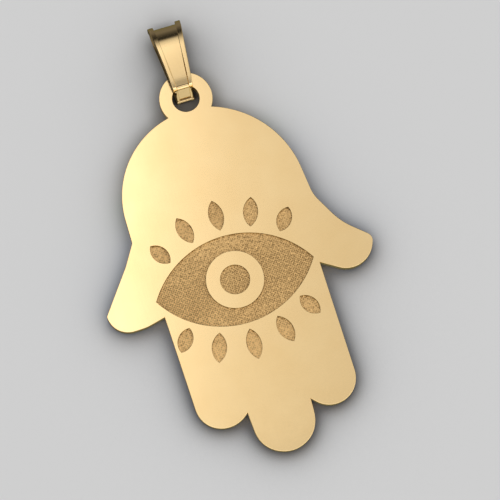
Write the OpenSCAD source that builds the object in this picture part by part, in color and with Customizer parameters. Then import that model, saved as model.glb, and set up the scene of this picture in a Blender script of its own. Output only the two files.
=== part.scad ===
// Hamsa pendant: a flat plate cut as a hand, with a ring of its own at the wrist, and a
// folded bail that hangs in the ring. It lies face up: z = 0 is the surface under it, the
// bail points along +Y and the fingers along -Y.

/* [Hand] */
// Length from the middle of the ring to the tip of the middle finger
hand_l = 23.75; // [20:0.05:30]
// Width across the tips of both thumbs
thumbs_w = 17.6; // [15:0.1:22]
// Width of the domed wrist
wrist_w = 12; // [10:0.1:14]
// Width across the three fingers
fingers_w = 10.5; // [9:0.1:12]
// Width of the middle finger
middle_w = 4.1; // [3:0.1:5]
// Thickness of the plate
plate_t = 0.7; // [0.5:0.05:1.2]

/* [Ring] */
// Diameter of the hole in the ring
ring_hole_d = 1.76; // [1.6:0.02:2.4]
// Width of the metal around the hole
ring_wall = 0.84; // [0.6:0.02:1.2]

/* [Eye] */
// Length of the eye from corner to corner
eye_l = 10.4; // [8:0.1:11]
// Height of the eye between its lids
eye_h = 5.8; // [4:0.1:6.5]
// Diameter of the polished iris
iris_d = 3.7; // [2.8:0.1:4]
// Diameter of the pupil
pupil_d = 1.9; // [1:0.1:2.4]
// Length of the longest ray
ray_l = 2; // [1:0.1:2.4]
// Width of a ray
ray_w = 0.95; // [0.5:0.05:1.2]
// Gap between a lid and its rays
ray_gap = 0.4; // [0.2:0.05:0.8]
// Number of rays on each lid
rays = 5; // [3:2:7]
// Angle between one ray and the next
ray_step = 17; // [12:1:18]
// Depth of the engraving
eye_depth = 0.2; // [0.1:0.05:0.3]
// Place of the eye across the hand
eye_x = -0.3; // [-1:0.1:1]
// Place of the eye down the hand, as a share of its length
eye_down = 0.515; // [0.48:0.005:0.54]

/* [Bail] */
// Reach of the bail from the middle of the ring
bail_reach = 5.05; // [4.5:0.05:7]
// Height of the bail over its round end
bail_h = 2.4; // [2.2:0.1:3]
// Width of the strip at its round end
bail_top_w = 2.2; // [1.6:0.05:3]
// Width of the strip at the crease
bail_crease_w = 1.3; // [1.2:0.05:1.6]
// Width of the tab
tab_w = 1.05; // [0.8:0.05:1.15]
// Width of the sunk panel at the round end
panel_top_w = 1.5; // [1.2:0.05:1.8]
// Width of the sunk panel at the crease
panel_crease_w = 0.8; // [0.6:0.05:0.9]
// Thickness of the strip at its rims
bail_t = 0.34; // [0.3:0.01:0.45]
// Height of a rim over the panel
rim_h = 0.18; // [0.08:0.01:0.2]
// Rounding outside the crease where the strip turns down into the ring
crease_r = 0.34; // [0.2:0.02:0.5]
// Slope of the tab that goes down through the ring, in degrees
tab_slope = 76; // [68:1:84]
// Length of the lower leaf that shows past the tab
leaf_end = 0.1; // [0.05:0.01:0.2]
// Turn of the bail in the ring, in degrees
bail_turn = 0.5; // [-5:0.5:5]

/* [Clearance] */
// Gap where the bail passes the hole's edge and under the ring
bail_gap = 0.04; // [0.02:0.01:0.1]
// Gap between the ring's face and the leaf above it
leaf_gap = 0.45; // [0.1:0.05:0.5]

/* [Hidden] */

gold = "#E6C48A";
$fn = 96;
// Turn of an outline's arc from one point to the next, in degrees
arc_step = 5;
// Length by which a cutting shape passes the metal
over = 0.5;
tiny = 0.000001;

// Corners of the hand, clockwise from the wrist. A row holds the width that the corner
// follows, its place across as a share of half that width, its place down as a share of
// the hand's length, and its rounding as a share of half the width.
hand_rows = [
    [wrist_w, 0, 0.022, 0],
    [wrist_w, 0.89, 0.09, 1.08],
    [wrist_w, 1.005, 0.35, 0.4],
    [thumbs_w, 0.82, 0.442, 0.5],
    [thumbs_w, 1.015, 0.504, 0.06],
    [thumbs_w, 0.955, 0.562, 0.22],
    [thumbs_w, 0.775, 0.575, 0.21],
    [fingers_w, 0.985, 0.533, 0],
    [fingers_w, 1.016, 0.92, 0.33],
    [fingers_w, 0.54, 0.908, 0.32],
    [middle_w, 1.03, 0.878, 0],
    [middle_w, 0.99, 1, 0.97],
    [middle_w, -0.86, 0.994, 0.98],
    [middle_w, -0.95, 0.868, 0],
    [fingers_w, -0.495, 0.891, 0.38],
    [fingers_w, -0.95, 0.895, 0.35],
    [fingers_w, -1, 0.56, 0],
    [thumbs_w, -0.737, 0.573, 0.32],
    [thumbs_w, -0.983, 0.576, 0.16],
    [thumbs_w, -0.995, 0.516, 0.02],
    [thumbs_w, -0.765, 0.4, 0.3],
    [wrist_w, -0.987, 0.343, 0.04],
    [wrist_w, -0.985, 0.091, 0.97],
];
hand_corners = [
    for (row = hand_rows)
        let (half_w = row[0] / 2)
        [row[1] * half_w, -row[2] * hand_l, row[3] * half_w]
];
hand_outline = rounded(hand_corners);

// The plate's ring end is propped up on the bail's lower leaf, so the plate slopes down to
// its fingertips.
lying_z = bail_t + bail_gap;
fingertip_y = min([for (p = hand_outline) p.y]);
lying_tilt = asin(-lying_z / fingertip_y);

// Side view of the bail: [along the pendant, up, rounding]. Seen from the side the strip
// is a loop of four straight stretches: lower leaf, round end, upper leaf and tab.
ring_face_z = lying_z + (plate_t + ring_hole_d / 2 * sin(lying_tilt)) / cos(lying_tilt);
bend_r = bail_h / 2;
bend_y = bail_reach - bend_r;
tab_inner_y = sqrt(pow(ring_hole_d / 2 - bail_gap, 2) - pow(tab_w / 2, 2));
tab_outer_y = tab_inner_y - bail_t / sin(tab_slope);
crease_z = ring_face_z + leaf_gap + bail_t;
crease_y = tab_outer_y + (crease_z - ring_face_z) / tan(tab_slope);
tab_foot_y = tab_outer_y - (ring_face_z - bail_t) / tan(tab_slope);
leaf_slope = tangent_slope([crease_y, crease_z], [bend_y, bend_r], bend_r);
bail_corners = [
    [crease_y - crease_z / tan(tab_slope), 0, 0],
    [bail_reach, 0, bend_r],
    [bail_reach, crease_z + (bail_reach - crease_y) * tan(leaf_slope), bend_r],
    [crease_y, crease_z, crease_r],
];

// Middle of the pendant's box, which is where its origin goes
box_front_y = fingertip_y * cos(lying_tilt) - plate_t * sin(lying_tilt);
box_back_y = bail_reach * cos(bail_turn) + bail_top_w / 2 * abs(sin(bail_turn));
middle_x = (min([for (p = hand_outline) p.x]) + max([for (p = hand_outline) p.x])) / 2;
middle_y = (box_front_y + box_back_y) / 2;

// Direction from one point to another
function toward(a, b) = (b - a) / norm(b - a);

// Half the angle at corner v between its neighbours a and b
function half_angle(a, v, b) = acos(toward(v, a) * toward(v, b)) / 2;

// Direction from corner v into the angle between its neighbours a and b
function into(a, v, b) = toward([0, 0], toward(v, a) + toward(v, b));

function flat(corner) = [corner.x, corner.y];
function before(c, i) = flat(c[(i + len(c) - 1) % len(c)]);
function after(c, i) = flat(c[(i + 1) % len(c)]);

// Length that the rounding of corner i takes off each edge beside it
function cut(c, i) = c[i].z / tan(half_angle(before(c, i), flat(c[i]), after(c, i)));

// Share of the roundings at both ends of edge i that the edge has room for
function room(c, i) =
    let (needed = cut(c, i) + cut(c, (i + 1) % len(c)))
    min(1, norm(after(c, i) - flat(c[i])) / max(needed, tiny));

// Points along the arc of radius r at corner v between its neighbours a and b
function arc(a, v, b, r) =
    r < tiny ? [v] : let (
        half = half_angle(a, v, b),
        centre = v + into(a, v, b) * r / sin(half),
        start = v + toward(v, a) * r / tan(half) - centre,
        side = cross(toward(a, v), toward(v, b)) > 0 ? 1 : -1,
        turn = side * (180 - 2 * half),
        steps = max(1, ceil(abs(turn) / arc_step)),
        first = atan2(start.y, start.x)
    )
    [for (k = [0:steps]) centre + r * [cos(first + turn * k / steps), sin(first + turn * k / steps)]];

// Outline through corners [x, y, rounding]. Two arcs that would overrun the edge between
// them both shrink to fit.
function rounded(c) = [
    for (i = [0:len(c) - 1])
        let (share = min(room(c, i), room(c, (i + len(c) - 1) % len(c))))
        each arc(before(c, i), flat(c[i]), after(c, i), c[i].z * share)
];

// Corners of a convex outline moved inwards by d, with their arcs kept concentric
function inset(c, d) = [
    for (i = [0:len(c) - 1])
        let (
            a = before(c, i),
            v = flat(c[i]),
            b = after(c, i),
            moved = v + into(a, v, b) * d / sin(half_angle(a, v, b))
        )
        [moved.x, moved.y, max(c[i].z - d, 0)]
];

// Slope of the line from a point to the top of a circle
function tangent_slope(point, centre, r) =
    let (d = centre - point)
    atan2(d.y, d.x) + asin(r / norm(d));

// Radius of the two arcs that bound a leaf of length l and width w
function leaf_radius(l, w) = (l * l + w * w) / (4 * w);

// Leaf with a pointed end to each side, along X
module leaf(l, w) {
    r = leaf_radius(l, w);
    intersection() {
        translate([0, r - w / 2]) circle(r = r);
        translate([0, w / 2 - r]) circle(r = r);
    }
}

// Rays that fan out from the upper lid, shorter towards its ends
module lid_rays() {
    lid_r = leaf_radius(eye_l, eye_h);
    last = (rays - 1) / 2;
    translate([0, eye_h / 2 - lid_r])
        for (i = [-last:last]) {
            l = ray_l * cos(i * ray_step);
            rotate(i * ray_step)
                translate([0, lid_r + ray_gap + l / 2])
                    rotate(90) leaf(l, ray_w);
        }
}

// Engraved area of the eye: the almond without its iris, the pupil and the rays
module eye() {
    difference() {
        leaf(eye_l, eye_h);
        circle(d = iris_d);
    }
    circle(d = pupil_d);
    lid_rays();
    mirror([0, 1]) lid_rays();
}

// Plate and ring, face up with the back at z = 0 and the ring's middle at the origin
module flat_plate() {
    difference() {
        union() {
            linear_extrude(plate_t) polygon(hand_outline);
            cylinder(d = ring_hole_d + 2 * ring_wall, h = plate_t);
        }
        translate([0, 0, -over]) cylinder(d = ring_hole_d, h = plate_t + 2 * over);
        translate([eye_x, -eye_down * hand_l, plate_t - eye_depth])
            linear_extrude(eye_depth + over) eye();
    }
}

// Side view of the folded strip's metal, from the depth d below its rims to its inside
module bail_side(d) {
    difference() {
        union() {
            polygon(rounded(inset(bail_corners, d)));
            translate([tab_foot_y - leaf_end, d]) square([leaf_end + bail_t, bail_t - d]);
        }
        polygon(rounded(inset(bail_corners, bail_t)));
    }
}

// Side view drawn in [y, z], made solid across the strip
module across() {
    rotate([90, 0, 90]) linear_extrude(bail_top_w + 2 * over, center = true) children();
}

// Tapered strip seen from above, with its width at the crease and at the round end
module bail_plan(crease_w, top_w) {
    slope = (top_w - crease_w) / 2 / (bail_reach - crease_y);
    near = tab_foot_y - leaf_end - over;
    far = bail_reach + over;
    near_w = crease_w / 2 - slope * (crease_y - near);
    far_w = top_w / 2 + slope * over;
    translate([0, 0, -over])
        linear_extrude(bail_h + 2 * over)
            polygon([[-near_w, near], [near_w, near], [far_w, far], [-far_w, far]]);
}

// Metal cut away on both sides of the tab, up to the shoulders under the crease
module beside_tab() {
    far = crease_y + bail_t;
    shoulder_z = crease_z - crease_r;
    size = [bail_crease_w, bail_reach, shoulder_z + over];
    for (side = [-1, 1])
        translate([side * (tab_w + size.x) / 2, far - size.y / 2, shoulder_z - size.z / 2])
            cube(size, center = true);
}

module hamsa_plate() {
    color(gold)
        translate([-middle_x, -middle_y, lying_z]) rotate([lying_tilt, 0, 0]) flat_plate();
}

// The strip is full thickness along both rims and thinner in the panel between them
module bail() {
    color(gold)
        translate([-middle_x, -middle_y, 0]) rotate(bail_turn) {
            difference() {
                intersection() {
                    across() bail_side(0);
                    bail_plan(bail_crease_w, bail_top_w);
                }
                bail_plan(panel_crease_w, panel_top_w);
                beside_tab();
            }
            intersection() {
                across() bail_side(rim_h);
                bail_plan(panel_crease_w, panel_top_w);
            }
        }
}

hamsa_plate();
bail();
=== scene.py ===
"""Hamsa pendant in polished gold, lying face up on a pale studio floor."""

import math
import random

import bmesh
import bpy
from mathutils import Matrix, Vector
from mathutils.geometry import delaunay_2d_cdt


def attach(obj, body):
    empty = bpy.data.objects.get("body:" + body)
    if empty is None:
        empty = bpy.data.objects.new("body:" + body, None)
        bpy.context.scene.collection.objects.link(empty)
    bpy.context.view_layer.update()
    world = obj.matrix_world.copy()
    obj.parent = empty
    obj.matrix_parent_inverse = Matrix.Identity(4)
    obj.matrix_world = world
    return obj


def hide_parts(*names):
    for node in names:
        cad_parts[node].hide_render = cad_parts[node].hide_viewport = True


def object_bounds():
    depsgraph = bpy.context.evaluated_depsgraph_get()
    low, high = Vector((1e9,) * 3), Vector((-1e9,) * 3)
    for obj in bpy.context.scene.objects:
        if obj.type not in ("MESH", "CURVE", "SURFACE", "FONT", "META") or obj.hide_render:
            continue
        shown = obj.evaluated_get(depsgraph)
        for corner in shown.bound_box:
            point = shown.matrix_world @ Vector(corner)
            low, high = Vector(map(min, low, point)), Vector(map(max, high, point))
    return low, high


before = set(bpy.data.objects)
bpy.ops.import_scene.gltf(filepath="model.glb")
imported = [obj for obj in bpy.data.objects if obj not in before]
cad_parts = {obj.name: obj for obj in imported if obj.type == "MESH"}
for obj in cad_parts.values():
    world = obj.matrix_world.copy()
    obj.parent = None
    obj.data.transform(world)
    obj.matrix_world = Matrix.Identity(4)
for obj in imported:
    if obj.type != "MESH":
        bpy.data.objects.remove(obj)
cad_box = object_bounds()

MM = 0.001
QUARTER = math.pi / 2
WELD = 1e-5 * MM
SAME_POINT = 1e-6 * MM

# Places in a piece's list of materials
FACE, SHADED_CUT, SIDE = range(3)

# Camera, in the part's frame
VIEW_AZIMUTH = math.radians(-16.446)
VIEW_ELEVATION = math.radians(78)
VIEW_DISTANCE = 176.79 * MM
VIEW_TARGET = Vector((1.125, -1.311, 0.6)) * MM
LENS = 200
SENSOR = 36
CLIP = (0.01, 10)

# Plate
PLATE_T = 0.7 * MM
EYE_DEPTH = 0.2 * MM
RIM_EDGE_R = 0.02 * MM
HOLE_EDGE_R = 0.015 * MM
EYE_EDGE_R = 0.008 * MM
EDGE_STEPS = 3
SHARP_EDGE = math.radians(35)

# Faces of the top: how far up their normals point, before and after the plate is made level
FACES_UP = 0.99
FACES_STRAIGHT_UP = 0.999

# Its outlines: sharper bends stay corners, longer chords stay straight, and the chords of arcs
# are cut into pieces of at most this length
CORNER = math.radians(25)
STRAIGHT = 1 * MM
CHORD = 0.1 * MM

# Limits how far a sharp corner moves when its outline is moved in
LEAST_MITRE = 0.4

# Stippling sunk in the eye
GRAIN = 0.07 * MM
GRAIN_JITTER = 0.3
GRAIN_HEIGHT = 0.01 * MM
GRAIN_BASE = 0.06 * MM
GRAIN_SEED = 7

# Bail, a strip folded over the ring, which lies on the lower leaf
RING_HOLE_D = 1.76 * MM
BAIL_REACH = 5.05 * MM
BAIL_H = 2.4 * MM
BAIL_TOP_W = 2.2 * MM
BAIL_CREASE_W = 1.3 * MM
TAB_W = 1.05 * MM
PANEL_TOP_W = 1.5 * MM
PANEL_CREASE_W = 0.8 * MM
BAIL_T = 0.34 * MM
RIM_H = 0.18 * MM
CREASE_R = 0.34 * MM
TAB_SLOPE = math.radians(76)
TAB_RIM_H = 0.06 * MM
LOWER_STEPS = 12
BEND_STEPS = 48
LEAF_STEPS = 32
CREASE_STEPS = 14
SHOULDER_STEPS = 2
TAB_STEPS = 6
LOWER_LEAF_INSET = 0.05 * MM
LEAF_END = 0.09 * MM
LEAF_END_R = 0.08 * MM
BAIL_TURN = math.radians(0.5)
BAIL_GAP = 0.04 * MM
LEAF_GAP = 0.45 * MM
BAIL_EDGE_R = 0.06 * MM
PANEL_EDGE_R = 0.04 * MM
TAB_SINK = 0.1 * MM
SHOULDER = 0.03 * MM
RING_Z = BAIL_T + BAIL_GAP

# Narrow strips beside the rounded edges, which keep the flats' shading level
FLAT_STEP = 0.01 * MM

# Slope of the upper leaf: (share of its length from the round end, degrees)
LEAF_SLOPES = (
    (0, -8), (0.04, -5.7), (0.1, -3.9), (0.2, -0.5), (0.3, 2.8), (0.45, 6.5), (0.7, 11),
    (0.85, 15.6), (1, 20.5)
)

# How much higher than the round end it gets
LEAF_RISE = 0.03 * MM

# How deep the panel is along the upper leaf: (share of its length, share of RIM_H)
PANEL_DEPTHS = ((-0.37, 1), (0, 0.7), (1, 1.1))

# How round the panel's edges are along it: (share of its length, share of PANEL_EDGE_R)
PANEL_EDGES = ((0.05, 0.3), (0.3, 0.4), (0.6, 1), (1, 1), (1.1, 0.3))

# Studio
STUDIO_R = 1.2
CARD_HEIGHT = 60 * MM
CARD_SIZE = 160 * MM


# Outlines of the plate's top face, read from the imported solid

def key(point):
    return round(point.x / MM, 4), round(point.y / MM, 4)


def border_loops(faces):
    """Closed outlines of a group of flat faces, each with the metal on its left."""
    half_edges = {}
    for face in faces:
        for a, b in zip(face, face[1:] + face[:1]):
            half_edges[key(a), key(b)] = a
    following = {
        ends[0]: (ends[1], start)
        for ends, start in half_edges.items()
        if (ends[1], ends[0]) not in half_edges
    }
    loops = []
    while following:
        at = next(iter(following))
        loop = []
        while at in following:
            at, point = following.pop(at)
            loop.append(point)
        loops.append(loop)
    return loops


def area(loop):
    """Area inside the outline, positive where it runs anticlockwise."""
    return sum(a.cross(b) for a, b in zip(loop, loop[1:] + loop[:1])) / 2


def extent(points):
    """Lowest and highest corner of a box round the points."""
    low = Vector((min(p.x for p in points), min(p.y for p in points)))
    high = Vector((max(p.x for p in points), max(p.y for p in points)))
    return low, high


def middle_of(loop):
    low, high = extent(loop)
    return (low + high) / 2


def bend(before, after):
    return math.atan2(before.cross(after), before.dot(after))


def refined(loop):
    """The outline with more points along its arcs. Its corners and straight stretches stay."""
    count = len(loop)
    ways = [loop[(i + 1) % count] - loop[i] for i in range(count)]
    lengths = [way.length for way in ways]
    units = [way.normalized() for way in ways]
    leaving, arriving = [], []
    for i in range(count):
        before, after = units[i - 1], units[i]
        if abs(bend(before, after)) > CORNER:
            arriving.append(before)
            leaving.append(after)
            continue
        if lengths[i] > STRAIGHT and lengths[i] > lengths[i - 1]:
            tangent = after
        elif lengths[i - 1] > STRAIGHT:
            tangent = before
        else:
            tangent = (before * lengths[i] + after * lengths[i - 1]).normalized()
        arriving.append(tangent)
        leaving.append(tangent)
    points = []
    for i in range(count):
        j = (i + 1) % count
        steps = 1 if lengths[i] > STRAIGHT else max(1, math.ceil(lengths[i] / CHORD))
        for k in range(steps):
            t = k / steps
            near = loop[i] * (2 * t**3 - 3 * t**2 + 1) + loop[j] * (3 * t**2 - 2 * t**3)
            out = leaving[i] * (t**3 - 2 * t**2 + t)
            into = arriving[j] * (t**3 - t**2)
            points.append(near + (out + into) * lengths[i])
    return points


def moved_in(loop, distance):
    """The outline moved to its left, into the metal."""
    moved = []
    for i, point in enumerate(loop):
        before = (point - loop[i - 1]).normalized()
        after = (loop[(i + 1) % len(loop)] - point).normalized()
        both = before + after
        left = Vector((-both.y, both.x)).normalized()
        mitre = max(math.cos(bend(before, after) / 2), LEAST_MITRE)
        moved.append(point + left * distance / mitre)
    return moved


def read_plate():
    """The plate's tilt, the height of its top face once it is level, and that face's outlines."""
    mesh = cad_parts["hamsa_plate"].data
    up = Vector()
    for face in mesh.polygons:
        if face.normal.z > FACES_UP:
            up += face.normal * face.area
    tilt = math.atan2(-up.y, up.z)
    level = Matrix.Rotation(-tilt, 3, "X")
    faces = []
    for face in mesh.polygons:
        if (level @ face.normal).z > FACES_STRAIGHT_UP:
            faces.append([level @ mesh.vertices[i].co for i in face.vertices])
    top = max(p.z for face in faces for p in face)
    faces = [f for f in faces if sum(top - p.z for p in f) < EYE_DEPTH]
    loops = border_loops([[p.to_2d() for p in face] for face in faces])
    return tilt, top, [refined(loop) for loop in loops]


# Mesh helpers

def anticlockwise(loop):
    return loop if area(loop) > 0 else loop[::-1]


def filled(loops, extra=()):
    """Triangles between the outlines: points, corners of each triangle. An outline inside
    another is a hole, and one inside a hole is an island."""
    points, outlines = [], []
    for loop in map(anticlockwise, loops):
        outlines.append(list(range(len(points), len(points) + len(loop))))
        points += loop
    points += extra
    made, _, triangles, _, _, inside = delaunay_2d_cdt(points, [], outlines, 0, SAME_POINT, True)
    kept = [t for t, names in zip(triangles, inside) if len(names) % 2]
    return made, kept


def add_face(bm, verts, smooth=False):
    face = bm.faces.new(verts)
    face.smooth = smooth
    return face


def add_sheet(bm, loops, height, upwards=True):
    """A flat face between outlines at one height."""
    points, triangles = filled(loops)
    used = {i for t in triangles for i in t}
    verts = {i: bm.verts.new((points[i].x, points[i].y, height)) for i in used}
    for triangle in triangles:
        corners = [verts[i] for i in triangle]
        add_face(bm, corners if upwards else corners[::-1])


def add_band(bm, upper, lower, paint):
    """Faces between two rings of vertices. The metal is on the left of the rings."""
    count = len(upper)
    for i in range(count):
        j = (i + 1) % count
        face = add_face(bm, (lower[i], lower[j], upper[j], upper[i]), smooth=True)
        face.material_index = paint


def add_wall(bm, loop, top, bottom, top_r, bottom_r, paint):
    """A wall down from the face at one outline, with its edges rounded over."""
    rings = []
    for k in range(EDGE_STEPS + 1):
        turn = QUARTER * k / EDGE_STEPS
        rings.append((top_r * (1 - math.sin(turn)), top - top_r * (1 - math.cos(turn))))
    for k in range(EDGE_STEPS + 1 if bottom_r else 1):
        turn = QUARTER * k / EDGE_STEPS
        rings.append((bottom_r * (1 - math.cos(turn)), bottom + bottom_r * (1 - math.sin(turn))))
    made = []
    for inset, height in rings:
        made.append([bm.verts.new((p.x, p.y, height)) for p in moved_in(loop, inset)])
    for upper, lower in zip(made, made[1:]):
        add_band(bm, upper, lower, paint)


def new_piece(name, bm, matrix, materials, node):
    """A piece of the pendant, put in its place. It stands for one solid of the part."""
    bmesh.ops.remove_doubles(bm, verts=bm.verts, dist=WELD)
    for edge in bm.edges:
        if len(edge.link_faces) == 2 and edge.calc_face_angle(0) > SHARP_EDGE:
            edge.smooth = False
    bm.transform(matrix)
    mesh = bpy.data.meshes.new(name)
    bm.to_mesh(mesh)
    bm.free()
    for material in materials:
        mesh.materials.append(material)
    piece = bpy.data.objects.new(name, mesh)
    bpy.context.scene.collection.objects.link(piece)
    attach(piece, "root")
    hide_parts(node)
    return piece


# The two pieces of the hand

def make_plate(lie_down, top, outer, hole, cuts, materials):
    """Hand and ring, with the eye cut into the face."""
    bm = bmesh.new()
    # The hole's and the eye's walls get the dark cut gold, which paints shade on them
    rim = ((outer, RIM_EDGE_R, SIDE), (hole, HOLE_EDGE_R, SHADED_CUT))
    for loop, edge_r, paint in rim:
        add_wall(bm, loop, top, top - PLATE_T, edge_r, edge_r, paint)
    for loop in cuts:
        add_wall(bm, loop, top, top - EYE_DEPTH - GRAIN_BASE, EYE_EDGE_R, 0, SHADED_CUT)
    rim_faces = [moved_in(loop, edge_r) for loop, edge_r, _ in rim]
    add_sheet(bm, rim_faces + [moved_in(loop, EYE_EDGE_R) for loop in cuts], top)
    add_sheet(bm, cuts, top - EYE_DEPTH - GRAIN_BASE)
    add_sheet(bm, rim_faces, top - PLATE_T, upwards=False)
    return new_piece("hand_plate", bm, lie_down, materials, "hamsa_plate")


def make_stipple(lie_down, top, cuts, material):
    """Rough floor of the sunk eye: a fine irregular mesh of dents and grains."""
    draw = random.Random(GRAIN_SEED)
    low, high = extent([point for cut in cuts for point in cut])
    grains = []
    for row in range(math.ceil((high.y - low.y) / GRAIN)):
        for column in range(math.ceil((high.x - low.x) / GRAIN)):
            x = low.x + (column + draw.uniform(-1, 1) * GRAIN_JITTER) * GRAIN
            y = low.y + (row + draw.uniform(-1, 1) * GRAIN_JITTER) * GRAIN
            grains.append(Vector((x, y)))
    points, triangles = filled(cuts, grains)
    used = sorted({i for t in triangles for i in t})
    floor = top - EYE_DEPTH
    bm = bmesh.new()
    verts = {}
    for i in used:
        height = floor + draw.uniform(-1, 1) * GRAIN_HEIGHT
        verts[i] = bm.verts.new((points[i].x, points[i].y, height))
    for triangle in triangles:
        add_face(bm, [verts[i] for i in triangle], smooth=True)
    return new_piece("eye_stipple", bm, lie_down, [material], "hamsa_plate")


# Bail

def read_off(table, share):
    """A value between the rows of a table of (share, value)."""
    for (first, low), (last, high) in zip(table, table[1:]):
        if share <= last:
            return low + (high - low) * max(share - first, 0) / (last - first)
    return table[-1][1]


def leaf_slope(share):
    """Slope of the bowed upper leaf at a share of its length from the round end."""
    return math.radians(read_off(LEAF_SLOPES, share))


def bail_stations(tilt):
    """Stations along the strip's outer face: (y, z, angle of its outward normal, part)."""
    ring_face_z = RING_Z + (PLATE_T + RING_HOLE_D / 2 * math.sin(tilt)) / math.cos(tilt)
    bend_r = (BAIL_H - LEAF_RISE) / 2
    bend_y = BAIL_REACH - bend_r
    hole_r = RING_HOLE_D / 2 - BAIL_GAP
    tab_inner_y = math.sqrt(hole_r**2 - (TAB_W / 2) ** 2)
    tab_outer_y = tab_inner_y - BAIL_T / math.sin(TAB_SLOPE)
    crease_z = ring_face_z + LEAF_GAP + BAIL_T
    crease_y = tab_outer_y + (crease_z - ring_face_z) / math.tan(TAB_SLOPE)
    tab_foot_y = tab_outer_y - (ring_face_z - BAIL_T) / math.tan(TAB_SLOPE)
    stations = []

    def straight(start, end, angle, part, steps):
        for k in range(steps + 1):
            y, z = (start[i] + (end[i] - start[i]) * k / steps for i in (0, 1))
            stations.append((y, z, angle, part))

    def arc(centre, radius, first, last, steps):
        for k in range(steps + 1):
            angle = first + (last - first) * k / steps
            y = centre[0] + radius * math.cos(angle)
            z = centre[1] + radius * math.sin(angle)
            stations.append((y, z, angle, "leaf"))

    # Lower leaf from its end, which is rounded over, to the round end
    leaf_end_y = tab_foot_y - LEAF_END
    for k in range(EDGE_STEPS):
        back = LEAF_END_R * (1 - math.cos(QUARTER * k / EDGE_STEPS))
        stations.append((leaf_end_y + back, 0, -QUARTER, "end"))
    straight((leaf_end_y + LEAF_END_R, 0), (bend_y, 0), -QUARTER, "leaf", LOWER_STEPS)
    arc((bend_y, bend_r), bend_r, -QUARTER, QUARTER + leaf_slope(0), BEND_STEPS)

    # Upper leaf, down its slopes to where the crease begins
    crease_angle = QUARTER + leaf_slope(1)
    tab_angle = QUARTER + TAB_SLOPE
    middle = (crease_angle + tab_angle) / 2
    reach = CREASE_R / math.cos((tab_angle - crease_angle) / 2)
    centre_y = crease_y - reach * math.cos(middle)
    end_y = centre_y + CREASE_R * math.cos(crease_angle)
    y, z = stations[-1][:2]
    step = (y - end_y) / LEAF_STEPS
    for k in range(1, LEAF_STEPS):
        slope = leaf_slope((k - 0.5) / LEAF_STEPS)
        y -= step
        z -= step * math.tan(slope)
        stations.append((y, z, QUARTER + leaf_slope(k / LEAF_STEPS), "leaf"))
    z -= step * math.tan(leaf_slope(1 - 0.5 / LEAF_STEPS))
    centre = (centre_y, z - CREASE_R * math.sin(crease_angle))
    arc(centre, CREASE_R, crease_angle, tab_angle, CREASE_STEPS)

    # Tab, from its shoulders down into the lower leaf
    y, z = stations[-1][:2]
    foot_z = BAIL_T - TAB_SINK
    shoulder_z = min(crease_z - CREASE_R, z) - SHOULDER
    down = 1 / math.tan(TAB_SLOPE)

    def tab_face(height):
        return y - (z - height) * down, height

    straight((y, z), tab_face(shoulder_z), tab_angle, "leaf", SHOULDER_STEPS)
    shoulder_z -= SHOULDER
    straight(tab_face(shoulder_z), tab_face(foot_z), tab_angle, "tab", TAB_STEPS)
    return stations, crease_y


def make_bail(tilt, ring_middle, materials):
    """The strip swept along its side view, with rims along both edges and a sunk panel. Its
    underside and edges are left as cut, rougher and with painted shade, but for the tab and the
    leaf's end."""
    stations, crease_y = bail_stations(tilt)
    widen = (BAIL_TOP_W - BAIL_CREASE_W) / 2 / (BAIL_REACH - crease_y)
    panel_widen = (PANEL_TOP_W - PANEL_CREASE_W) / 2 / (BAIL_REACH - crease_y)
    round_end_y = BAIL_REACH - BAIL_H / 2
    bm = bmesh.new()
    rings = []
    for y, z, angle, part in stations:
        half_w = BAIL_CREASE_W / 2 + widen * (y - crease_y)
        if part == "tab":
            half_w = TAB_W / 2
        half_panel = PANEL_CREASE_W / 2 + panel_widen * (y - crease_y)
        share = (round_end_y - y) / (round_end_y - crease_y)
        depth = RIM_H * read_off(PANEL_DEPTHS, share)
        left = (QUARTER + TAB_SLOPE - angle) / (TAB_SLOPE - leaf_slope(1))
        depth = TAB_RIM_H + (depth - TAB_RIM_H) * min(max(left, 0), 1)
        if angle < 0:
            half_w -= LOWER_LEAF_INSET
            depth = RIM_H
        soft = PANEL_EDGE_R * read_off(PANEL_EDGES, share)
        section = strip_section(half_w, half_panel, depth, soft)
        thick = BAIL_T - end_loss(y - stations[0][0])
        out_y, out_z = math.cos(angle), math.sin(angle)
        section = [(x, min(d, thick)) for x, d in section]
        rings.append([bm.verts.new((x, y - out_y * d, z - out_z * d)) for x, d in section])
    count = len(rings[0])
    for near, far, (y, _, angle, part) in zip(rings, rings[1:], stations):
        # Faces left as cut get the dark cut gold: a rougher finish with painted shade
        cut_and_shaded = part != "end" and (y > crease_y or angle < 0)
        for i in range(count):
            j = (i + 1) % count
            face = add_face(bm, (near[i], near[j], far[j], far[i]), smooth=True)
            under = i == count - 1 or min(i, count - 2 - i) <= EDGE_STEPS + 1
            face.material_index = SHADED_CUT if under and cut_and_shaded else FACE
    add_face(bm, rings[0][::-1])
    add_face(bm, rings[-1])
    turned = Matrix.Rotation(BAIL_TURN, 4, "Z")
    place = Matrix.Translation((ring_middle.x, ring_middle.y, 0)) @ turned
    return new_piece("folded_bail", bm, place, materials, "bail")


def end_loss(distance):
    """What the rounded edge at the strip's end takes off its thickness."""
    left = LEAF_END_R - distance
    return LEAF_END_R - math.sqrt(LEAF_END_R**2 - left**2) if left > 0 else 0


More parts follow.
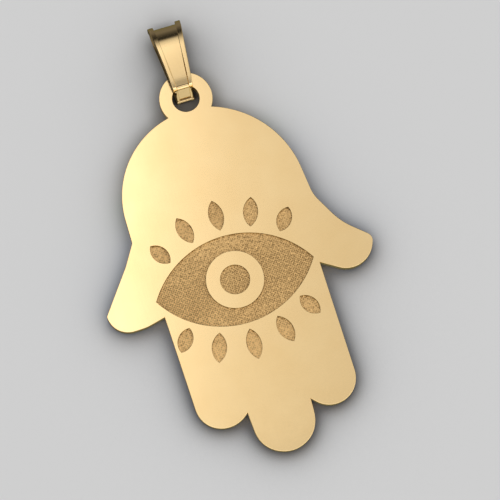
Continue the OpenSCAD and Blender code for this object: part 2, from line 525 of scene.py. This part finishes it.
def strip_section(half_w, half_panel, rim_h, soft):
    """Section of the strip: (across, depth below the rims), once round it."""

    def corner(x, depth, radius, first, turn):
        made = []
        for k in range(EDGE_STEPS + 1):
            angle = first + turn * k / EDGE_STEPS
            made.append((x + radius * math.cos(angle), depth - radius * math.sin(angle)))
        return made

    edge = BAIL_EDGE_R
    side = [(half_w - edge - FLAT_STEP, BAIL_T)]
    side += corner(half_w - edge, BAIL_T - edge, edge, -QUARTER, QUARTER)
    side += corner(half_w - edge, edge, edge, 0, QUARTER)
    side += [(half_w - edge - FLAT_STEP, 0), (half_panel + soft + FLAT_STEP, 0)]
    side += corner(half_panel + soft, soft, soft, QUARTER, QUARTER)
    side += corner(half_panel - soft, rim_h - soft, soft, 0, -QUARTER)
    side += [(half_panel - soft - FLAT_STEP, rim_h)]
    return side + [(-x, d) for x, d in reversed(side)]


# Materials

GOLD = (0.96, 0.70, 0.355, 1)
WARM_GOLD = (0.93, 0.66, 0.32, 1)
GRAZING_TINT = (0.92, 0.9, 0.5, 1)
# Dark golds of walls left as cut: painted shade in the ring's hole, on the eye's walls and under
# the bail
SHADED_CUT_GOLDS = ((0.27, 0.18, 0.08, 1), (0.2, 0.13, 0.055, 1))
SHADED_DENT_GOLD = (0.31, 0.182, 0.066, 1)
GRAIN_GOLD = (0.93, 0.6, 0.255, 1)

# Finishes: (least and most rough, depth of the hairlines), and the sums of the noises that
# give the least and the most
POLISHED = (0.1, 0.16, 0.0006 * MM)
AS_CUT = (0.3, 0.42, 0.0012 * MM)
ROUGH_AT = (1.1, 1.9)

# Noises: (cells to a metre, detail), and hairlines: (scale, detail, cells each way, turn)
CLOUD = (420, 4)
STIPPLE_PATCH = (700, 2)
HAIRLINES = (1, 3, (900, 14000, 900), math.radians(35))
CROSS_HAIRLINES = (1, 3, (11000, 700, 700), math.radians(12))

# Painted shade on walls where they close in: how far they are felt, rays to tell it, and (closed,
# open, how dark)
NOTCH_REACH = 0.5 * MM
NOTCH_SAMPLES = 48
NOTCH_PAINTED_SHADE = (0.08, 0.4, 0.1)

# Stippled gold: dents, their painted shade, and how rough it is
DENT_PITCH = 0.13 * MM
DENT_RANDOM = 0.42
DENT_DEPTH = 0.012 * MM
DENT_SPAN = (0.1, 0.65)
GRAIN_TURN = math.radians(38)
STIPPLE_ROUGH = (0.42, 0.52)


def node_tree(owner):
    owner.use_nodes = True
    tree = owner.node_tree
    tree.nodes.clear()
    return tree


def add_node(tree, kind, inputs=None, **settings):
    node = tree.nodes.new(kind)
    for name, value in settings.items():
        setattr(node, name, value)
    for name, value in (inputs or {}).items():
        if isinstance(value, bpy.types.NodeSocket):
            tree.links.new(value, node.inputs[name])
        else:
            node.inputs[name].default_value = value
    return node


def calc(tree, operation, *values):
    """A Math node's result."""
    inputs = dict(enumerate(values))
    return add_node(tree, "ShaderNodeMath", inputs, operation=operation).outputs[0]


def dot(tree, vector, other):
    inputs = {0: vector, 1: other}
    return add_node(tree, "ShaderNodeVectorMath", inputs, operation="DOT_PRODUCT").outputs["Value"]


def metal(name):
    """A material with a fully metallic shader: (material, tree, shader, place in the object)."""
    material = bpy.data.materials.new(name)
    tree = node_tree(material)
    shader = add_node(
        tree, "ShaderNodeBsdfPrincipled", {"Metallic": 1.0, "Specular Tint": GRAZING_TINT}
    )
    add_node(tree, "ShaderNodeOutputMaterial", {"Surface": shader.outputs["BSDF"]})
    place = add_node(tree, "ShaderNodeTexCoord").outputs["Object"]
    return material, tree, shader, place


def noise(tree, place, scale, detail, stretch=None, turn=0.0):
    """Noise with so many cells to a metre."""
    if stretch:
        mapped = add_node(tree, "ShaderNodeMapping", {"Vector": place})
        mapped.inputs["Rotation"].default_value = (0, 0, turn)
        mapped.inputs["Scale"].default_value = stretch
        place = mapped.outputs["Vector"]
    made = add_node(
        tree, "ShaderNodeTexNoise", {"Vector": place, "Scale": scale, "Detail": detail}
    )
    return made.outputs["Fac"]


def between(tree, factor, low, high, start=0.3, end=0.7):
    """A value that goes from low to high as the factor goes from start to end."""
    made = add_node(
        tree,
        "ShaderNodeMapRange",
        {"Value": factor, "From Min": start, "From Max": end, "To Min": low, "To Max": high},
    )
    return made.outputs["Result"]


def mixed(tree, factor, first, second):
    """Goes from the first colour to the second as the factor goes from 0 to 1."""
    made = add_node(tree, "ShaderNodeMix", data_type="RGBA")
    tree.links.new(factor, made.inputs["Factor"])
    made.inputs["A"].default_value = first
    made.inputs["B"].default_value = second
    return made.outputs["Result"]


def add_bump(tree, shader, height, depth):
    inputs = {"Height": height, "Strength": 1.0, "Distance": depth}
    bump = add_node(tree, "ShaderNodeBump", inputs)
    tree.links.new(bump.outputs["Normal"], shader.inputs["Normal"])


def painted_shade_in_notches(tree, colour):
    """The colour, with painted shade where two walls close in on each other."""
    reach = {"Distance": NOTCH_REACH}
    near = add_node(tree, "ShaderNodeAmbientOcclusion", reach, samples=NOTCH_SAMPLES)
    closed, opened, dark = NOTCH_PAINTED_SHADE
    share = between(tree, near.outputs["AO"], dark, 1, closed, opened)
    inputs = {0: colour, "Scale": share}
    return add_node(tree, "ShaderNodeVectorMath", inputs, operation="SCALE").outputs[0]


def polished_gold(name, finish, colours=(GOLD, WARM_GOLD), notches=False):
    """Buffed gold: a soft cloud in its gloss, faint hairlines from the buffing, and, when asked,
    painted shade where walls close in.
    """
    material, tree, shader, place = metal(name)
    cloud = noise(tree, place, *CLOUD)
    lines = noise(tree, place, *HAIRLINES)
    cross = noise(tree, place, *CROSS_HAIRLINES)
    colour = mixed(tree, between(tree, cloud, 0, 1), *colours)
    # Painted shade in narrow notches, when asked
    if notches:
        colour = painted_shade_in_notches(tree, colour)
    tree.links.new(colour, shader.inputs["Base Color"])
    both = calc(tree, "ADD", lines, cross)
    rough = calc(tree, "ADD", both, cloud)
    low, high, scratch_depth = finish
    rough = between(tree, rough, low, high, *ROUGH_AT)
    tree.links.new(rough, shader.inputs["Roughness"])
    add_bump(tree, shader, both, scratch_depth)
    return material


def stippled_gold(name):
    """Gold left rough by a graver's point, with painted shade in its dents."""
    material, tree, shader, place = metal(name)
    turn = {"Vector": place, "Rotation": (0, 0, GRAIN_TURN)}
    turned = add_node(tree, "ShaderNodeMapping", turn).outputs[0]
    grid = {"Vector": turned, "Scale": 1 / DENT_PITCH, "Randomness": DENT_RANDOM}
    dents = add_node(tree, "ShaderNodeTexVoronoi", grid).outputs["Distance"]
    patch = noise(tree, place, *STIPPLE_PATCH)
    # Painted shade in the dents, brighter gold on the grains between them
    colour = mixed(tree, between(tree, dents, 0, 1, *DENT_SPAN), SHADED_DENT_GOLD, GRAIN_GOLD)
    tree.links.new(colour, shader.inputs["Base Color"])
    tree.links.new(between(tree, patch, *STIPPLE_ROUGH), shader.inputs["Roughness"])
    add_bump(tree, shader, dents, DENT_DEPTH)
    return material


# Studio: floor, sky dome for soft light, and what the gold mirrors

SKY_LIGHT = 0.995
SKY_LOW = 1.19
SKY_HIGH_LOSS = -0.45
SKY_LEAN = Vector((-0.05, 0.53, 0.0))
FLOOR_ALBEDO = 0.65
BACKDROP = (0.62, 0.62, 0.62, 1)
FLOOR_DROP = 0.002 * MM

# Painted shadow on the floor: how far the pendant darkens it, its strength (in the middle, growth
# with place, least, change for red, green and blue) and the darkest that it gets
FLOOR_SHADE_REACH = 8 * MM
FLOOR_SHADE = 1.36
FLOOR_SHADE_DEEPEST = 0.57
FLOOR_SHADE_LEAN = Vector((22, -84, 0))
FLOOR_SHADE_LEAST = 0.9
FLOOR_SHADE_TINT = (0.12, 0, -0.22)

# More painted shadow on the floor up by the ring: (begins at, full at, strength), and in narrow
# notches: (closed, open, how dark)
HOLE_SHADE_REACH = 1.2 * MM
HOLE_SHADE = (5 * MM, 9 * MM, 0.8)
NOTCH_SHADE = (0.08, 0.28, 0.25)


def make_world():
    """Soft light from low all round, stronger from behind the bail. Gold doesn't mirror it."""
    world = bpy.data.worlds.new("soft_light")
    bpy.context.scene.world = world
    tree = node_tree(world)
    way = add_node(tree, "ShaderNodeTexCoord").outputs["Generated"]
    up = add_node(tree, "ShaderNodeSeparateXYZ", {0: way}).outputs["Z"]
    lean = dot(tree, way, SKY_LEAN)
    low = calc(tree, "MULTIPLY_ADD", calc(tree, "MULTIPLY", up, up), SKY_HIGH_LOSS, SKY_LOW)
    light = calc(tree, "MULTIPLY", calc(tree, "ADD", low, lean), SKY_LIGHT)
    shade = add_node(tree, "ShaderNodeBackground", {"Strength": light})
    shade.inputs["Color"].default_value = (1, 1, 1, 1)
    add_node(tree, "ShaderNodeOutputWorld", {"Surface": shade.outputs[0]})
    world.cycles_visibility.camera = False
    world.cycles_visibility.glossy = False


def stage_object(name, bm, material, sees):
    """Part of the studio. sees holds the kinds of ray that meet it."""
    mesh = bpy.data.meshes.new(name)
    bm.to_mesh(mesh)
    bm.free()
    mesh.materials.append(material)
    thing = bpy.data.objects.new(name, mesh)
    bpy.context.scene.collection.objects.link(thing)
    for kind in ("camera", "diffuse", "glossy", "transmission", "volume_scatter", "shadow"):
        setattr(thing, "visible_" + kind, kind in sees)
    return thing


def glow(name):
    """A material that only shines: (material, tree, emission node, place in the object)."""
    material = bpy.data.materials.new(name)
    tree = node_tree(material)
    shade = add_node(tree, "ShaderNodeEmission")
    add_node(tree, "ShaderNodeOutputMaterial", {"Surface": shade.outputs[0]})
    place = add_node(tree, "ShaderNodeTexCoord").outputs["Object"]
    material.cycles.emission_sampling = "NONE"
    return material, tree, shade, place


def ball():
    bm = bmesh.new()
    bmesh.ops.create_uvsphere(bm, u_segments=64, v_segments=32, radius=STUDIO_R)
    bmesh.ops.reverse_faces(bm, faces=bm.faces)
    return bm


def square(size):
    bm = bmesh.new()
    bmesh.ops.create_grid(bm, x_segments=1, y_segments=1, size=size / 2)
    return bm


def make_floor():
    """Pale paper with painted shadow close to the pendant. The gold mirrors the room instead."""
    material = bpy.data.materials.new("floor_paper")
    tree = node_tree(material)
    near = add_node(tree, "ShaderNodeAmbientOcclusion", {"Distance": FLOOR_SHADE_REACH})
    shade = calc(tree, "MAXIMUM", near.outputs["AO"], FLOOR_SHADE_DEEPEST)
    close = add_node(tree, "ShaderNodeAmbientOcclusion", {"Distance": HOLE_SHADE_REACH})
    place = add_node(tree, "ShaderNodeTexCoord").outputs["Object"]
    lean = dot(tree, place, FLOOR_SHADE_LEAN)
    along = add_node(tree, "ShaderNodeSeparateXYZ", {0: place}).outputs["Y"]
    start, end, most = HOLE_SHADE
    hole = calc(tree, "POWER", close.outputs["AO"], between(tree, along, 0, most, start, end))
    closed, opened, dark = NOTCH_SHADE
    notch = between(tree, near.outputs["AO"], dark, 1, closed, opened)
    # The paper's colour with painted shadow up by the ring and in narrow notches
    paper = calc(tree, "MULTIPLY", calc(tree, "MULTIPLY", hole, notch), FLOOR_ALBEDO)
    # Painted shadow close to the pendant, a little bluer than the paper
    shades = []
    for tint in FLOOR_SHADE_TINT:
        depth = calc(tree, "ADD", lean, FLOOR_SHADE + tint)
        shaded = calc(tree, "POWER", shade, calc(tree, "MAXIMUM", depth, FLOOR_SHADE_LEAST))
        shades.append(calc(tree, "MULTIPLY", shaded, paper))
    colour = add_node(tree, "ShaderNodeCombineColor", dict(enumerate(shades))).outputs[0]
    shader = add_node(tree, "ShaderNodeBsdfDiffuse", {"Color": colour})
    add_node(tree, "ShaderNodeOutputMaterial", {"Surface": shader.outputs[0]})
    floor = stage_object("floor", square(2 * STUDIO_R), material, ("camera", "diffuse", "shadow"))
    floor.location.z = cad_box[0].z - FLOOR_DROP


def make_backdrop():
    """Pale wall that only the camera sees."""
    material, _, shade, _ = glow("backdrop_glow")
    shade.inputs["Color"].default_value = BACKDROP
    stage_object("backdrop", ball(), material, ("camera",))


def ramp(tree, value, start, end, stops, peak):
    """A value read off a short curve. stops holds (place, height)."""
    share = between(tree, value, 0, 1, start, end)
    node = add_node(tree, "ShaderNodeValToRGB", {"Fac": share})
    points = node.color_ramp.elements
    while len(points) < len(stops):
        points.new(0.5)
    for point, (at, height) in zip(points, stops):
        point.position = (at - start) / (end - start)
        point.color = (height / peak,) * 3 + (1,)
    return calc(tree, "MULTIPLY", node.outputs["Color"], peak)


def blended(tree, share, first, second):
    """Goes from the first value to the second as the share goes from 0 to 1."""
    made = add_node(tree, "ShaderNodeMix", data_type="FLOAT")
    for socket, value in (("Factor", share), ("A", first), ("B", second)):
        if isinstance(value, bpy.types.NodeSocket):
            tree.links.new(value, made.inputs[socket])
        else:
            made.inputs[socket].default_value = value
    return made.outputs["Result"]


# Light of the soft box over the pendant, across it: (place in mm, brightness)
CARD_LIGHT = (
    (-24, 0.06),
    (-20, 0.5),
    (-16.5, 1.9),
    (-14, 2.0),
    (-9.5, 1.6),
    (-8, 1.4),
    (-5.8, 1.2),
    (-3.6, 1.09),
    (-1.5, 0.99),
    (0, 0.945),
    (5, 0.855),
    (10, 0.775),
    (20, 0.71),
)
CARD_SKEW = -0.35

# Along it, in mm: where it fades out, (dimmer from, to, share), and towards the fingers
# (changes from, to, brightness)
CARD_EDGE = (25, 49)
CARD_FADE = (14, 27, 0.9)
CARD_GAP = (-8, -14.5, 0.42)
CARD_FRONT = (-26, -31, 1.7)

# What the gold mirrors further out: brightness of each side, and between which shares of the
# room's radius one goes over into the next
ROOM_SIDES = 0.8
ROOM_FRONT = 1.4
ROOM_FRONT_LOW = 0.7
ROOM_FRONT_HIGH = 1.05
ROOM_LEFT = 0.06
ROOM_BEYOND = 0.17
ROOM_BEYOND_HIGH = 0.03
ROOM_FLOOR = 0.155
LEFT_AT = (-0.45, -0.15)
HORIZON_AT = (-0.1, 0.05)
FRONT_AT = (-0.35, -0.05)
FRONT_LOW_AT = (-0.3, 0)
FRONT_HIGH_AT = (0.1, 0.2)
BEYOND_AT = (0.25, 0.45)
BEYOND_FADE_AT = (0.2, 0.8)
BELOW_AT = (-0.93, -0.82)


def make_card():
    """Soft box over the pendant, which only shows in the gold."""
    material, tree, shade, place = glow("softbox_glow")
    axes = add_node(tree, "ShaderNodeSeparateXYZ", {0: place})
    along = axes.outputs["Y"]
    skewed = calc(tree, "MULTIPLY_ADD", along, CARD_SKEW, axes.outputs["X"])
    first, last = CARD_LIGHT[0][0], CARD_LIGHT[-1][0]
    peak = max(light for _, light in CARD_LIGHT)
    across = ramp(
        tree, skewed, first * MM, last * MM, [(at * MM, light) for at, light in CARD_LIGHT], peak
    )
    start, end, dim = CARD_FADE
    light = calc(tree, "MULTIPLY", across, between(tree, along, 1, dim, start * MM, end * MM))
    for start, end, level in (CARD_GAP, CARD_FRONT):
        light = blended(tree, between(tree, along, 1, 0, end * MM, start * MM), light, level)
    tree.links.new(light, shade.inputs["Strength"])
    seen = between(tree, along, 1, 0, CARD_EDGE[0] * MM, CARD_EDGE[1] * MM)
    seen = calc(tree, "POWER", seen, 2)
    hidden = add_node(tree, "ShaderNodeBsdfTransparent")
    both = {0: seen, 1: hidden.outputs[0], 2: shade.outputs[0]}
    blend = add_node(tree, "ShaderNodeMixShader", both)
    out = next(n for n in tree.nodes if n.type == "OUTPUT_MATERIAL")
    tree.links.new(blend.outputs[0], out.inputs["Surface"])
    card = stage_object("softbox", square(CARD_SIZE), material, ("glossy",))
    card.location.z = CARD_HEIGHT


def make_room():
    """Room round the pendant, which only shows in the gold: bright before the fingers, dim to
    the left, dark beyond the bail and dull where the floor would be."""
    material, tree, shade, place = glow("room_glow")
    axes = add_node(tree, "ShaderNodeSeparateXYZ", {0: place})
    x, y, z = (calc(tree, "DIVIDE", axes.outputs[axis], STUDIO_R) for axis in "XYZ")
    light = blended(tree, between(tree, x, 1, 0, *LEFT_AT), ROOM_SIDES, ROOM_LEFT)
    light = blended(tree, between(tree, z, 1, 0, *HORIZON_AT), light, ROOM_FLOOR)
    front = blended(tree, between(tree, z, 1, 0, *FRONT_LOW_AT), ROOM_FRONT, ROOM_FRONT_LOW)
    front = blended(tree, between(tree, z, 0, 1, *FRONT_HIGH_AT), front, ROOM_FRONT_HIGH)
    light = blended(tree, between(tree, y, 1, 0, *FRONT_AT), light, front)
    beyond = between(tree, z, ROOM_BEYOND, ROOM_BEYOND_HIGH, *BEYOND_FADE_AT)
    light = blended(tree, between(tree, y, 0, 1, *BEYOND_AT), light, beyond)
    light = blended(tree, between(tree, z, 1, 0, *BELOW_AT), light, ROOM_FLOOR)
    tree.links.new(light, shade.inputs["Strength"])
    stage_object("room", ball(), material, ("glossy",))


def make_camera():
    back = Vector(
        (
            math.sin(VIEW_AZIMUTH) * math.cos(VIEW_ELEVATION),
            -math.cos(VIEW_AZIMUTH) * math.cos(VIEW_ELEVATION),
            math.sin(VIEW_ELEVATION),
        )
    )
    data = bpy.data.cameras.new("camera")
    data.lens = LENS
    data.sensor_width = SENSOR
    data.clip_start, data.clip_end = CLIP
    camera = bpy.data.objects.new("camera", data)
    bpy.context.scene.collection.objects.link(camera)
    camera.location = VIEW_TARGET + back * VIEW_DISTANCE
    camera.rotation_euler = (-back).to_track_quat("-Z", "Y").to_euler()
    bpy.context.scene.camera = camera


def make_pendant():
    tilt, top, loops = read_plate()
    loops.sort(key=lambda loop: -abs(area(loop)))
    outer, inner = loops[0], loops[1:]
    hole = max(inner, key=lambda loop: middle_of(loop).y)
    cuts = [loop for loop in inner if loop is not hole]
    lie_down = Matrix.Rotation(tilt, 4, "X")
    face = polished_gold("plate_polish", POLISHED)
    # Dark cut gold: a rougher finish with painted shade
    cut = polished_gold("plate_cut_painted_shade", AS_CUT, SHADED_CUT_GOLDS)
    # The outer wall gets painted shade in its notches
    side = polished_gold("plate_side_painted_notch_shade", POLISHED, notches=True)
    make_plate(lie_down, top, outer, hole, cuts, (face, cut, side))
    make_stipple(lie_down, top, cuts, stippled_gold("plate_stipple"))
    level_middle = middle_of(hole)
    ring_y = (level_middle.y - RING_Z * math.sin(tilt)) / math.cos(tilt)
    outside = polished_gold("bail_polish", POLISHED)
    # Dark cut gold under the bail: a rougher finish with painted shade
    inside = polished_gold("bail_inside_painted_shade", AS_CUT, SHADED_CUT_GOLDS)
    make_bail(tilt, Vector((level_middle.x, ring_y)), (outside, inside))


make_camera()
make_world()
make_floor()
make_backdrop()
make_room()
make_card()
make_pendant()
bpy.context.scene.view_settings.view_transform = "Standard"
